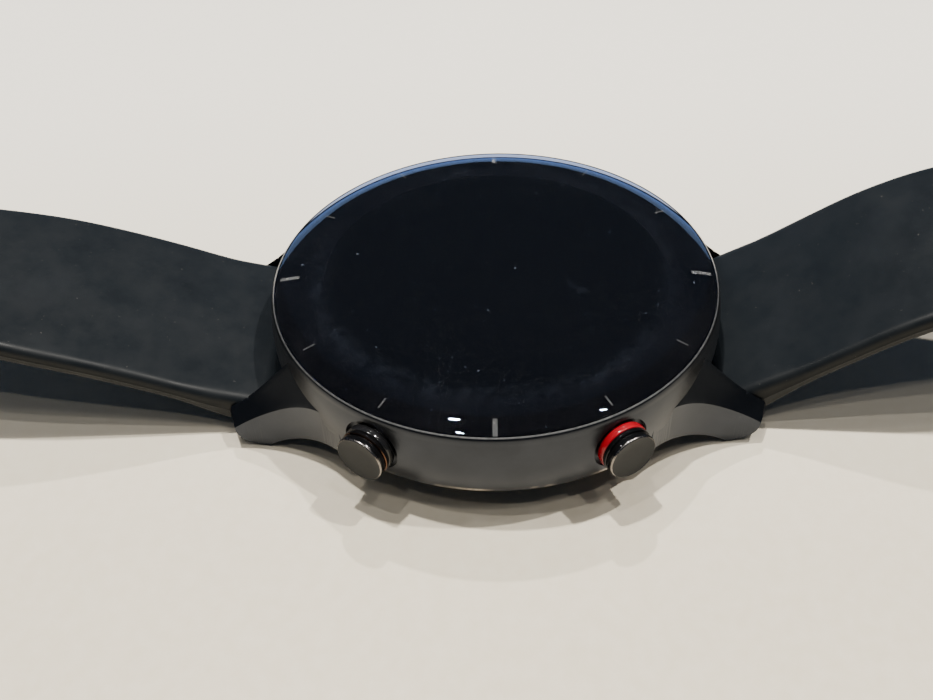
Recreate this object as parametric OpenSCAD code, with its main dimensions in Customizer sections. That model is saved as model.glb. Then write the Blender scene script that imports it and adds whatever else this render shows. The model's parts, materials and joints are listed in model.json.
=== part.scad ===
// Round sports watch lying face up on its back, with both strap halves unfastened.
// Frame: origin at the middle of the back sensor face, +Z towards the glass,
// +Y towards 12 o'clock, +X towards 3 o'clock, where the two buttons are. Millimetres.

/* [Case] */
// Height of the metal rim above the table
rim_z = 11; // [10.8:0.1:11.4]
// Radius of the case wall where it bulges most
case_r = 23.2; // [23.1:0.1:23.6]
// Wall thickness of the case at its waist
case_wall = 2; // [1.8:0.1:2.1]

/* [Glass] */
// Outer radius of the cover glass
glass_r = 22.5; // [22.3:0.1:22.5]
// Radius of the flat middle of the glass, where its curved edge begins
glass_flat_r = 17.6; // [17:0.1:18.5]
// Radius of the curve that rolls the glass over at its edge
glass_roll = 11.3; // [10.5:0.1:13]

/* [Lugs and strap bars] */
// Gap between the two lugs of a pair, which takes a 22 mm strap
lug_gap = 22.4; // [22.2:0.1:22.6]
// Distance of a strap bar from the middle of the case
bar_y = 24.3; // [24.2:0.1:24.8]
// Height of a strap bar above the table
bar_z = 2.35; // [2.3:0.05:2.5]
// Radius of the hollow that sweeps each lug away from the case
lug_sweep_r = 14; // [13:0.5:15]

/* [Buttons] */
// Angle of each button from the 3 o'clock direction
button_angle = 30; // [28:1:32]
// Height of the button axis above the table
button_z = 7.2; // [7.1:0.1:7.6]
// Radius of a button cap
cap_r = 2.45; // [2.3:0.05:2.6]
// Distance of a cap's outer face from the middle of the case
cap_face = 25.1; // [25:0.1:25.8]

/* [Strap] */
// Width of the strap at the lugs
strap_w = 22; // [21:0.5:22]
// Width of the strap past its taper
strap_end_w = 20; // [19:0.5:20]
// Thickness of the strap at the lugs
strap_thick = 3.7; // [3.4:0.1:3.8]
// Thickness of the strap past its taper
strap_thin = 2.2; // [2:0.1:2.4]
// Spacing of the adjustment holes along the long half
hole_pitch = 7; // [6:0.5:7]
// Number of adjustment holes
hole_count = 9; // [5:1:9]

/* [Buckle] */
// Length of the buckle frame from its bar to its outer edge
buckle_reach = 14.5; // [13:0.5:15]
// Inner height of the keepers, which take both halves of the strap
keeper_h = 5.2; // [5:0.1:5.6]

/* [Hidden] */
$fn = 96;
CASE = "#3b3d3b";
STEEL = "#8d8f90";
BLACK = "#17181a";
STRAP = "#232427";
GOLD = "#c9a24a";
BOARD = "#1d5a3c";

// Case wall: an arc in the section plane, from the back seam to the rim.
seam_z = 3.75;
waist_z = 7.6;
wall_arc_r = 14.5;
cavity_r = case_r - case_wall;
ledge_z = 9.9;
back_r = 21.9;
glass_under_z = 10.3;
glass_top_z = rim_z + glass_roll
    - sqrt(glass_roll * glass_roll - pow(glass_r - glass_flat_r, 2));
lug_x = lug_gap / 2;
lug_sweep = [case_r + 4, 25.2];
lug_nose_r = 2.3;
lug_nose_at = [24.5, 2.55];
lug_nose_turn = -21.8;
lug_hollow_r = 20;
lug_hollow_at = [11.2, -15.95];
// The two slanted facets on top of a lug: [turn about Z, tilt from Z, distance].
lug_facets = [[42.4, 58.2, 23.6], [45, 40.3, 19.94]];

// Strap bars: a tube with one fixed tip and one sliding tip.
bar_r = 0.9;
bar_bore_r = 0.55;
bar_half = 10.9;
tip_r = 0.45;
tip_hole_r = 0.5;
tip_end = 12.2;
tip_hole_depth = 1.2;
fit_gap = 0.05;

// Buttons, measured outwards along each button's own axis.
recess_r = 2.85;
recess_floor = 22.4;
stem_r = 0.9;
sleeve_r = 1.7;
sleeve_in = 19.9;
groove_r = 0.65;
seal_at = [20.9, 21.6];
seal_len = 0.35;
clip_at = 19.55;
ring_in = 22.95;
ring_len = 0.8;
cap_len = 0.9;

// Inside the case: four screw posts, and a vibration motor whose axis lies along X.
post_r = 15.6;
post_angles = [20, 90, 155, 238];
motor_at = [-9.6, 5.9];
motor_x = [-2, 5.4];
vent_z = 6.6;
microphone_angle = 204;
contact_at = [2.5, -16.6];

// Strap paths: [length, turn in degrees] stretches walked from the strap bar.
long_lift = 15.7;
long_arcs = [[6, 8], [18, -7.8], [26, -11.8], [68, -32]];
short_lift = 36;
short_arcs = [[5, -2], [10, -1], [13, -18], [52, -62.5]];
taper_len = 9;
taper_y = [46, 60];
first_hole_s = 44;

function along(p, len, turn, t) =
    turn == 0
    ? [p[0] + len * t * cos(p[2]), p[1] + len * t * sin(p[2]), p[2]]
    : let (r = len / turn * 180 / PI, h = p[2] + turn * t)
      [p[0] + r * (sin(h) - sin(p[2])), p[1] - r * (cos(h) - cos(p[2])), h];
function stretch_start(first, arcs, i) =
    i == 0 ? first : along(stretch_start(first, arcs, i - 1), arcs[i - 1][0], arcs[i - 1][1], 1);
function length_to(arcs, i) = i == 0 ? 0 : arcs[i - 1][0] + length_to(arcs, i - 1);
// The place on a path at a distance from the bar: [y, z, heading].
function place(first, arcs, s, i = 0) =
    (i == len(arcs) - 1 || s < length_to(arcs, i + 1))
    ? along(stretch_start(first, arcs, i), arcs[i][0], arcs[i][1],
            (s - length_to(arcs, i)) / arcs[i][0])
    : place(first, arcs, s, i + 1);
function ease(u) = u < 0 ? 0 : u > 1 ? 1 : u * u * (3 - 2 * u);
function half_thick(s) = (strap_thick + (strap_thin - strap_thick) * ease(s / taper_len)) / 2;
function side_point(first, arcs, s, side) =
    let (p = place(first, arcs, s), t = side * half_thick(s))
    [p[0] - t * sin(p[2]), p[1] + t * cos(p[2])];

bar_at = [bar_y, bar_z];
long_from = [bar_y, bar_z, long_lift];
short_from = [bar_y, bar_z, short_lift];
long_len = length_to(long_arcs, len(long_arcs));
short_len = length_to(short_arcs, len(short_arcs));
path_step = 2;
nose_r = strap_thick / 2 + 0.04;

// Last stretch of the short half: a true arc, so that the keeper slides round its centre.
keeper_turn = short_arcs[3][1];
keeper_arc_r = -short_arcs[3][0] / keeper_turn * 180 / PI;
arc_from = stretch_start(short_from, short_arcs, 3);
arc_centre = [arc_from[0] + keeper_arc_r * sin(arc_from[2]),
              arc_from[1] - keeper_arc_r * cos(arc_from[2])];
buckle_at = place(short_from, short_arcs, short_len);
keeper_len = 5;
keeper_wall = 1.3;
keeper_play = 0.2;
fixed_keeper_s = short_len - 13;
sliding_keeper_s = fixed_keeper_s - keeper_len - 0.6;
buckle_bar_r = 0.75;
eye_r = 2.05;
arm_w = 2.3;
arm_in = strap_end_w / 2 + 0.4;

// ---- shared shapes ----

module tube(r_out, r_in, h) {
    difference() {
        cylinder(r = r_out, h = h);
        translate([0, 0, -1]) cylinder(r = r_in, h = h + 2);
    }
}

// Stands its children's Z axis along a radius of the case at an angle from +X.
module on_radius(angle, z) {
    rotate([0, 0, angle]) translate([0, 0, z]) rotate([0, 90, 0]) children();
}

// Lays a cylinder along X between two X values.
module x_rod(x0, x1, r, at) {
    translate([x0, at[0], at[1]]) rotate([0, 90, 0]) cylinder(r = r, h = x1 - x0, $fn = 48);
}

// Puts children on the +Y half, or on the -Y half as a mirror image.
module half(side) {
    if (side > 0) children();
    else mirror([0, 1, 0]) children();
}

// A coil of round wire about Z, from z = 0 to z = height.
module coil(mean_r, wire_r, height, turns) {
    sides = 6;
    steps = 14;
    rings = turns * steps;
    rise = (height - 2 * wire_r) / rings;
    points = [for (i = [0:rings]) for (j = [0:sides - 1])
        let (a = i * 360 / steps, b = j * 360 / sides, r = mean_r + wire_r * cos(b))
        [r * cos(a), r * sin(a), wire_r + i * rise + wire_r * sin(b)]];
    walls = [for (i = [0:rings - 1]) for (j = [0:sides - 1])
        let (k = (j + 1) % sides)
        [i * sides + j, (i + 1) * sides + j, (i + 1) * sides + k, i * sides + k]];
    start_cap = [[for (j = [0:sides - 1]) j]];
    end_cap = [[for (j = [0:sides - 1]) rings * sides + sides - 1 - j]];
    polyhedron(points = points, faces = concat(walls, start_cap, end_cap), convexity = 6);
}

// ---- case ----

module case_wall_section() {
    difference() {
        intersection() {
            translate([case_r - wall_arc_r, waist_z]) circle(r = wall_arc_r, $fn = 180);
            translate([cavity_r, seam_z]) square([3, rim_z - seam_z]);
        }
        translate([cavity_r - 1, ledge_z]) square([glass_r + 0.1 - cavity_r + 1, 3]);
    }
}

// One lug in the +X, +Y quarter. Its outer face is swept in plan, its underside is
// hollowed next to the case, and two slanted facets cut its top.
module lug() {
    difference() {
        union() {
            translate([lug_x, 12, seam_z]) cube([6.6, 12.7, 7]);
            translate([lug_x, 17, 1.8]) cube([6.6, 6.7, 4]);
            translate([lug_x, 20, lug_nose_at[1] - lug_nose_r]) cube([4, 4.1, 3]);
            translate([lug_x, lug_nose_at[0], lug_nose_at[1]]) rotate([0, 0, lug_nose_turn])
                x_rod(-2, 6, lug_nose_r, [0, 0]);
        }
        translate([lug_x - 4, 20, -1]) cube([4, 10, 14]);
        translate([lug_sweep[0], lug_sweep[1], -1]) cylinder(r = lug_sweep_r, h = 14, $fn = 180);
        translate([lug_x - 1, lug_hollow_at[0], lug_hollow_at[1]]) rotate([0, 90, 0])
            cylinder(r = lug_hollow_r, h = 20, $fn = 180);
        intersection() {
            lug_facet(lug_facets[0]);
            lug_facet(lug_facets[1]);
        }
        translate([0, 0, -1]) cylinder(r = cavity_r + 0.3, h = 14);
        translate([0, 0, -1]) cylinder(r = back_r + 0.1, h = seam_z + 1);
        translate([0, 0, ledge_z]) cylinder(r = glass_r + 0.1, h = 4);
        x_rod(lug_x - 1, lug_x + tip_hole_depth, tip_hole_r, bar_at);
    }
}

// Everything beyond a slanted plane.
module lug_facet(plane) {
    rotate([0, 0, plane[0]]) rotate([0, plane[1], 0])
        translate([-40, -40, plane[2]]) cube([80, 80, 30]);
}

module case_body() {
    color(CASE) difference() {
        union() {
            rotate_extrude($fn = 180) case_wall_section();
            for (mx = [0, 1]) for (my = [0, 1])
                mirror([mx, 0, 0]) mirror([0, my, 0]) lug();
        }
        for (side = [-1, 1]) on_radius(side * button_angle, button_z) {
            translate([0, 0, recess_floor]) cylinder(r = recess_r, h = 5);
            translate([0, 0, 18]) cylinder(r = sleeve_r, h = 6);
        }
        for (step = [-2:2]) on_radius(180 + step * 3.6, vent_z)
            translate([0, 0, 20]) cylinder(r = 0.45, h = 5, $fn = 24);
        on_radius(microphone_angle, vent_z) translate([0, 0, 20])
            cylinder(r = 0.35, h = 5, $fn = 24);
    }
}

module back_cover() {
    outline = [[14.1, 1.25], [17.5, 1.45], [20.4, 2.1], [back_r - 0.1, 3.1], [back_r, 3.45],
               [cavity_r - 0.05, 3.45], [cavity_r - 0.05, 4.5], [20.4, 4.5],
               [20.4, 3.3], [19.4, 2.75], [14.1, 2.45]];
    color(BLACK) difference() {
        rotate_extrude($fn = 120) polygon(outline);
        for (side = [-1, 1]) translate([side * contact_at[0], contact_at[1], 0])
            cylinder(r = 1.1, h = 5, $fn = 32);
    }
}

module back_gasket() {
    color("black") translate([0, 0, 3.45]) tube(21.85, cavity_r + 0.1, seam_z - 3.45);
}

module sensor_window() {
    color("#101216") rotate_extrude($fn = 120) difference() {
        union() {
            square([12.8, 1.25]);
            intersection() {
                translate([12.8, 1.25]) circle(r = 1.25, $fn = 48);
                translate([12.8, 0]) square([1.25, 1.25]);
            }
            translate([0, 1.25]) square([14.05, 1.2]);
        }
        translate([-1, 1.35]) square([13.8, 2]);
    }
}

module charging_contacts() {
    color(GOLD) for (side = [-1, 1]) translate([side * contact_at[0], contact_at[1], 1.3]) {
        cylinder(r = 1.1, h = 1.6, $fn = 32);
        translate([0, 0, 1.6]) cylinder(r = 0.6, h = 0.7, $fn = 32);
    }
}

// ---- glass and display ----

module cover_glass() {
    color("#0b0c0e") rotate_extrude($fn = 180) {
        translate([0, glass_under_z]) square([glass_flat_r, glass_top_z - glass_under_z]);
        intersection() {
            translate([glass_flat_r, glass_top_z - glass_roll]) circle(r = glass_roll, $fn = 120);
            translate([glass_flat_r, glass_under_z]) square([glass_r - glass_flat_r, 4]);
        }
    }
}

module glass_gasket() {
    color("black") translate([0, 0, ledge_z]) tube(22.4, 21.3, glass_under_z - ledge_z);
}

module display_panel() {
    color("#08090b") translate([0, 0, ledge_z])
        cylinder(r = 20.9, h = glass_under_z - ledge_z);
}

// Flat cable folded over the edge of the inner frame, from the panel to the board.
module display_flex() {
    color("#b5651d") difference() {
        translate([-19.1, -4, 8.1]) cube([6.1, 8, ledge_z - 8.1]);
        translate([-18.95, -5, 8.25]) cube([8, 10, ledge_z - 8.4]);
        translate([-16.5, -5, 7]) cube([8, 10, 1.5]);
    }
}

// ---- inside ----

module inner_frame() {
    color("#2e3033") difference() {
        union() {
            translate([0, 0, 9.4]) cylinder(r = 21.1, h = 0.5);
            translate([0, 0, 4.6]) tube(17.9, 17, 5);
            for (a = post_angles) rotate([0, 0, a]) translate([post_r, 0, 5.4])
                cylinder(r = 1.5, h = 2.6, $fn = 32);
        }
        translate([-22, -4.4, 8]) cube([9.6, 8.8, 3]);
        for (a = post_angles) rotate([0, 0, a]) translate([post_r, 0, 5])
            cylinder(r = 0.5, h = 4, $fn = 24);
        translate([-19, -6, 3]) cube([5, 8.6, 5.2]);
    }
}

module main_board() {
    color(BOARD) difference() {
        translate([0, 0, 8]) cylinder(r = 16.9, h = 0.7);
        translate([-20, -4.3, 7]) cube([3.6, 8.6, 3]);
        for (a = post_angles) rotate([0, 0, a]) translate([post_r, 0, 7])
            cylinder(r = 0.65, h = 3, $fn = 24);
    }
}

module board_screws() {
    color(STEEL) for (a = post_angles) rotate([0, 0, a]) translate([post_r, 0, 5.8]) difference() {
        union() {
            cylinder(r = 0.5, h = 2.9, $fn = 24);
            translate([0, 0, 2.9]) cylinder(r = 1.05, h = 0.6, $fn = 24);
        }
        translate([-0.7, -0.15, 3.2]) cube([1.4, 0.3, 1]);
    }
}

module shield_cans() {
    color(STEEL) for (y = [-9.5, 0.5]) translate([-7, y, 8.7]) difference() {
        cube([14, 8.5, 0.65]);
        translate([0.2, 0.2, -1]) cube([13.6, 8.1, 1.45]);
    }
}

module battery() {
    color("#3a4a63") translate([-9.5, -5, 3.6]) linear_extrude(4.2) union() {
        translate([1, 0]) square([18, 18]);
        translate([0, 1]) square([20, 16]);
        for (x = [1, 19]) for (y = [1, 17]) translate([x, y]) circle(r = 1, $fn = 24);
    }
}

module sensor_board() {
    color(BOARD) translate([0, 0, 2]) cylinder(r = 12, h = 0.6);
}

module sensor_leds() {
    color("#e9f3d8") {
        for (a = [45:90:315]) rotate([0, 0, a]) translate([6.2, -1, 1.5]) cube([2, 2, 0.5]);
        translate([-1.1, -1.1, 1.5]) cube([2.2, 2.2, 0.5]);
    }
}

module light_baffle() {
    color("black") translate([0, 0, 1.4]) {
        tube(4.6, 4.1, 0.6);
        tube(10.6, 10.1, 0.6);
    }
}

module speaker() {
    color("#26282b") translate([-16.4, -5.4, 4.2]) difference() {
        cube([6, 7.6, 3.4]);
        translate([-1, 1.2, 1.6]) cube([2, 5.2, 1]);
    }
}

module speaker_mesh() {
    color(STEEL) rotate([0, 0, 168]) translate([0, 0, 5.6])
        rotate_extrude(angle = 24, $fn = 120) translate([20.95, 0]) square([0.2, 2]);
}

module microphone() {
    color(GOLD) on_radius(microphone_angle, vent_z) translate([-1, -1.4, 19.6]) difference() {
        cube([2, 2.8, 1]);
        translate([1, 1.4, 0.5]) cylinder(r = 0.3, h = 2, $fn = 24);
    }
}

module motor_case() {
    color(STEEL) difference() {
        x_rod(motor_x[0], motor_x[1], 1.9, motor_at);
        x_rod(motor_x[0] + 1, motor_x[1] + 1, 0.35, motor_at);
    }
}

module motor_weight() {
    color(GOLD) {
        x_rod(motor_x[0] + 1.2, motor_x[1] + 3.4, 0.3, motor_at);
        difference() {
            x_rod(motor_x[1] + 0.5, motor_x[1] + 3.2, 1.8, motor_at);
            translate([motor_x[1], motor_at[0] - 3, motor_at[1] + 0.2]) cube([5, 6, 3]);
        }
    }
}

module button_flex() {
    reach = button_angle + 7;
    color("#b5651d") rotate([0, 0, -reach]) translate([0, 0, button_z - 1.6])
        rotate_extrude(angle = 2 * reach, $fn = 120) translate([18.05, 0]) square([0.15, 3.2]);
}

// ---- buttons ----

module button(side) {
    color(BLACK) on_radius(side * button_angle, button_z) difference() {
        union() {
            translate([0, 0, cap_face - 0.2]) cylinder(r1 = cap_r, r2 = cap_r - 0.2, h = 0.2);
            translate([0, 0, cap_face - 0.75]) cylinder(r = cap_r, h = 0.55);
            translate([0, 0, cap_face - cap_len]) cylinder(r = cap_r - 0.15, h = 0.15);
            translate([0, 0, ring_in]) cylinder(r = cap_r - 0.3, h = cap_face - cap_len - ring_in);
            translate([0, 0, ring_in + ring_len])
                cylinder(r = cap_r + 0.05, h = cap_face - cap_len - ring_in - ring_len);
            translate([0, 0, 19.4]) cylinder(r = stem_r, h = 4, $fn = 48);
        }
        translate([0, 0, 22]) tube(1.65, 1.05, 1.95);
        for (z = seal_at) translate([0, 0, z]) tube(2, groove_r, seal_len);
        translate([0, 0, clip_at]) tube(2, groove_r, 0.25);
    }
}

module accent_ring(side, tone) {
    color(tone) on_radius(side * button_angle, button_z) translate([0, 0, ring_in])
        tube(cap_r + 0.1, cap_r - 0.3, ring_len);
}

module button_sleeve(side) {
    color(STEEL) on_radius(side * button_angle, button_z) translate([0, 0, sleeve_in])
        tube(sleeve_r, stem_r + fit_gap, recess_floor - sleeve_in);
}

module button_seals(side) {
    color("black") on_radius(side * button_angle, button_z) for (z = seal_at)
        translate([0, 0, z]) tube(stem_r + 0.035, groove_r, seal_len);
}

module button_spring(side) {
    color(STEEL) on_radius(side * button_angle, button_z) translate([0, 0, recess_floor + 0.02])
        coil(1.35, 0.12, 1.5, 3);
}

module button_clip(side) {
    color(STEEL) on_radius(side * button_angle, button_z) translate([0, 0, clip_at + 0.02]) difference() {
        tube(1.4, groove_r + 0.02, 0.2);
        translate([0, -0.55, -1]) cube([3, 1.1, 3]);
    }
}

module button_switch(side) {
    color(STEEL) on_radius(side * button_angle, button_z) {
        translate([-1.5, -1.5, 18.25]) cube([3, 3, 0.45]);
        translate([0, 0, 18.7]) cylinder(r = 0.7, h = 0.25, $fn = 32);
    }
}

// ---- strap ----

// Side view of a strap half, in Y and Z, as seen with X towards the viewer.
module strap_side(first, arcs, total) {
    steps = ceil(total / path_step);
    upper = [for (i = [0:steps]) side_point(first, arcs, i * total / steps, 1)];
    lower = [for (i = [steps:-1:0]) side_point(first, arcs, i * total / steps, -1)];
    polygon(concat(upper, lower));
}

module strap_plan(y_end, round_end) {
    polygon([[-strap_w / 2, 15], [strap_w / 2, 15], [strap_w / 2, taper_y[0]],
             [strap_end_w / 2, taper_y[1]], [strap_end_w / 2, y_end], [-strap_end_w / 2, y_end],
             [-strap_end_w / 2, taper_y[1]], [-strap_w / 2, taper_y[0]]]);
    if (round_end) translate([0, y_end]) circle(r = strap_end_w / 2);
}

module strap_blank(first, arcs, total, y_end, round_end) {
    intersection() {
        union() {
            translate([-15, 0, 0]) rotate([90, 0, 90]) linear_extrude(30)
                strap_side(first, arcs, total);
            x_rod(-15, 15, nose_r, bar_at);
        }
        translate([0, 0, -10]) linear_extrude(50) strap_plan(y_end, round_end);
    }
}

// What the strap bar and its release pin need: the bar's bore and the finger pocket.
module bar_cuts() {
    x_rod(-15, 15, bar_r + fit_gap, bar_at);
    translate([4.6, bar_y - 0.9, bar_z - 4]) cube([3.6, 1.8, 4]);
}

module strap_long() {
    tip = place(long_from, long_arcs, long_len);
    color(STRAP) half(-1) difference() {
        strap_blank(long_from, long_arcs, long_len, tip[0] - strap_end_w / 2, true);
        bar_cuts();
        for (i = [0:hole_count - 1]) {
            at = place(long_from, long_arcs, first_hole_s + i * hole_pitch);
            translate([0, at[0], at[1]]) rotate([at[2], 0, 0]) translate([0, 0, -3])
                linear_extrude(6) {
                    square([1.6, 2.2], center = true);
                    for (x = [-0.8, 0.8]) translate([x, 0]) circle(r = 1.1, $fn = 32);
                }
        }
    }
}

module strap_short() {
    buckle_y = buckle_at[0];
    color(STRAP) difference() {
        union() {
            strap_blank(short_from, short_arcs, short_len, buckle_y + 1, false);
            x_rod(-strap_end_w / 2, strap_end_w / 2, eye_r, [buckle_y, buckle_at[1]]);
        }
        bar_cuts();
        x_rod(-15, 15, buckle_bar_r + fit_gap, [buckle_y, buckle_at[1]]);
        translate([0, buckle_y, buckle_at[1]]) rotate([buckle_at[2], 0, 0])
            translate([-1.6, -5, -4]) cube([3.2, 10, 8]);
    }
}

module strap_bar(side) {
    color(STEEL) half(side) difference() {
        union() {
            x_rod(-bar_half, bar_half, bar_r, bar_at);
            x_rod(-tip_end, -bar_half, tip_r, bar_at);
        }
        x_rod(-3, bar_half + 1, bar_bore_r, bar_at);
        translate([4.8, bar_y - 0.45, bar_z - 2]) cube([3.2, 0.9, 2]);
    }
}

module release_pin(side) {
    color(STEEL) half(side) {
        x_rod(4.2, bar_half, bar_bore_r - fit_gap, bar_at);
        x_rod(bar_half - 0.1, tip_end, tip_r, bar_at);
        translate([7.2, bar_y, bar_z - 2.2]) cylinder(r = 0.38, h = 2.2, $fn = 24);
        translate([7.2, bar_y, bar_z - 2.25]) cylinder(r = 0.6, h = 0.7, $fn = 24);
    }
}

module bar_spring(side) {
    color(STEEL) half(side) translate([-2.95, bar_y, bar_z]) rotate([0, 90, 0])
        coil(0.4, 0.1, 7.1, 9);
}

// ---- keepers and buckle ----

// A loop round the strap, turned about the centre of the strap's last arc.
module keeper(s) {
    centre_angle = 90 + place(short_from, short_arcs, s)[2];
    span = keeper_len / keeper_arc_r * 180 / PI;
    r_in = keeper_arc_r - strap_thin / 2 - keeper_play;
    half_in = strap_end_w / 2 + 0.3;
    color(STRAP) translate([0, arc_centre[0], arc_centre[1]])
        rotate([90, 0, 90]) rotate([0, 0, centre_angle - span / 2])
            rotate_extrude(angle = span, $fn = 180) difference() {
                translate([r_in - keeper_wall, -half_in - keeper_wall])
                    square([keeper_h + 2 * keeper_wall, 2 * (half_in + keeper_wall)]);
                translate([r_in, -half_in]) square([keeper_h, 2 * half_in]);
            }
}

module fixed_keeper() {
    keeper(fixed_keeper_s);
}

module sliding_keeper() {
    keeper(sliding_keeper_s);
}

module buckle_frame() {
    y0 = buckle_at[0];
    z0 = buckle_at[1];
    bar_line = [y0, z0];
    outer = arm_in + arm_w;
    color(STEEL) difference() {
        union() {
            translate([0, 0, 0.1]) linear_extrude(2.2) difference() {
                union() {
                    translate([-outer, y0]) square([2 * outer, buckle_reach - 3]);
                    translate([-outer + 3, y0 + 3]) square([2 * outer - 6, buckle_reach - 3]);
                    for (x = [3 - outer, outer - 3])
                        translate([x, y0 + buckle_reach - 3]) circle(r = 3, $fn = 48);
                }
                translate([-arm_in, y0 - 1]) square([2 * arm_in, buckle_reach - 1.7]);
            }
            for (x = [-outer, arm_in]) x_rod(x, x + arm_w, eye_r, bar_line);
        }
        x_rod(-outer + 0.8, outer - 0.8, buckle_bar_r, bar_line);
        translate([-1.5, y0 + buckle_reach - 3, 2]) cube([3, 4, 2]);
    }
}

module buckle_bar() {
    end = arm_in + arm_w - 0.8;
    color(STEEL) x_rod(-end, end, buckle_bar_r, [buckle_at[0], buckle_at[1]]);
}

module buckle_tongue() {
    y0 = buckle_at[0];
    z0 = buckle_at[1];
    prong = [[1.2, 1.1], [1.2, 3.3], [4, 3.5], [13.6, 3.3], [14.6, 2.6], [14.4, 2.02],
             [9, 2.02], [4, 1.5]];
    color(STEEL) difference() {
        union() {
            x_rod(-1.3, 1.3, 1.7, [y0, z0]);
            translate([-1.1, y0, 0]) rotate([90, 0, 90]) linear_extrude(2.2) polygon(prong);
        }
        x_rod(-3, 3, buckle_bar_r + fit_gap, [y0, z0]);
    }
}

case_body();
back_cover();
back_gasket();
sensor_window();
charging_contacts();
cover_glass();
glass_gasket();
display_panel();
display_flex();
inner_frame();
main_board();
board_screws();
shield_cans();
battery();
sensor_board();
sensor_leds();
light_baffle();
speaker();
speaker_mesh();
microphone();
motor_case();
motor_weight();
button_flex();
button(1);  // upper_button
accent_ring(1, "#b3121f");  // upper_accent_ring
button_sleeve(1);  // upper_button_sleeve
button_seals(1);  // upper_button_seals
button_spring(1);  // upper_button_spring
button_clip(1);  // upper_button_clip
button_switch(1);  // upper_button_switch
button(-1);  // lower_button
accent_ring(-1, "#0c0c0d");  // lower_accent_ring
button_sleeve(-1);  // lower_button_sleeve
button_seals(-1);  // lower_button_seals
button_spring(-1);  // lower_button_spring
button_clip(-1);  // lower_button_clip
button_switch(-1);  // lower_button_switch
strap_long();
strap_bar(-1);  // long_strap_bar
release_pin(-1);  // long_release_pin
bar_spring(-1);  // long_bar_spring
strap_short();
strap_bar(1);  // short_strap_bar
release_pin(1);  // short_release_pin
bar_spring(1);  // short_bar_spring
fixed_keeper();
sliding_keeper();
buckle_frame();
buckle_bar();
buckle_tongue();
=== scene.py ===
"""The looks of a round sports watch lying face up with its strap unfastened."""
import json
import math
import bmesh
import bpy
from mathutils import Euler, Matrix, Vector


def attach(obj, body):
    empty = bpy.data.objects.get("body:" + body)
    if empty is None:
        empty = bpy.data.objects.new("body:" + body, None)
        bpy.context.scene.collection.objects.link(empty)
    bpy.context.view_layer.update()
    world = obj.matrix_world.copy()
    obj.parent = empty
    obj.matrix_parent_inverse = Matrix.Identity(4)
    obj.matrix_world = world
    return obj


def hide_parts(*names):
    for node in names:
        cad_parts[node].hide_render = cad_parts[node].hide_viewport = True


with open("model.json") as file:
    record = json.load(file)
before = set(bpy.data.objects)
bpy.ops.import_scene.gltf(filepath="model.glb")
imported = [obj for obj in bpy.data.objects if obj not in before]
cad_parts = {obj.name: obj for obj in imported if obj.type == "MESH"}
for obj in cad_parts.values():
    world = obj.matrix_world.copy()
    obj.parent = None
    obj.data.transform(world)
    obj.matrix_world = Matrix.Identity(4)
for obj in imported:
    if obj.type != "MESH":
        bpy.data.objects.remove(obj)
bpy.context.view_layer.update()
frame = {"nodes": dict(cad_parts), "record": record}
MM = 0.001

# ---- sizes shared with the CAD, in millimetres ----
RIM_Z, SEAM_Z, LEDGE_Z = 11.0, 3.75, 9.9
WAIST_Z, WALL_ARC, CASE_R, CAVITY_R = 7.6, 14.5, 23.2, 21.2
GLASS_R, GLASS_FLAT_R, GLASS_ROLL, GLASS_UNDER = 22.5, 17.6, 11.3, 10.3
GLASS_TOP = RIM_Z + GLASS_ROLL - math.sqrt(GLASS_ROLL ** 2 - (GLASS_R - GLASS_FLAT_R) ** 2)
LUG_X, BAR_Y, BAR_Z = 11.2, 24.3, 2.35
NOSE_R, NOSE_AT, NOSE_TURN = 2.3, (24.5, 2.55), -21.8
HOLLOW_R, HOLLOW_AT = 20.0, (11.2, -15.95)
SWEEP_AT, SWEEP_R = (27.2, 25.2), 14.0
BUTTON_ANGLE, BUTTON_Z, CAP_R, CAP_FACE = 30.0, 7.2, 2.45, 25.1
RECESS_R, RECESS_FLOOR, SLEEVE_R, BACK_R = 2.85, 22.4, 1.7, 21.9
LUG_WIDE, TIP_HOLE_R = 6.6, 0.5
RING_IN, STEM_R, GROOVE_R = 22.95, 0.9, 0.65
VENT_Z, VENT_STEP, MICROPHONE_ANGLE = 6.6, 3.6, 204
CONTACT_AT = (2.5, -16.6)
FACETS = [(42.4, 58.2, 23.6), (45.0, 40.3, 19.94)]
STRAP_W, STRAP_END_W, STRAP_THICK, STRAP_THIN, TAPER = 22.0, 20.0, 3.7, 2.2, 9.0
LONG_LIFT, LONG_ARCS = 15.7, [(6, 8), (18, -7.8), (26, -11.8), (68, -32)]
SHORT_LIFT, SHORT_ARCS = 36.0, [(5, -2), (10, -1), (13, -18), (52, -62.5)]
HOLE_FROM, HOLE_PITCH, HOLE_COUNT = 44, 7, 9
KEEPER_LEN, KEEPER_WALL, KEEPER_H, KEEPER_PLAY = 5.0, 1.3, 5.2, 0.2
EYE_R, EYE_LEN, TIP_ROUND = 2.05, 6, 10.0
FIXED_KEEPER_AT, SLIDING_KEEPER_AT = 13, 18.6


# ---- camera, light and floor ----

CAMERA_AT, CAMERA_TURN, CAMERA_LENS = (91.16, 0.77, 85.42), (-42.944, 1.822, 0.699), 44.01


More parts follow.
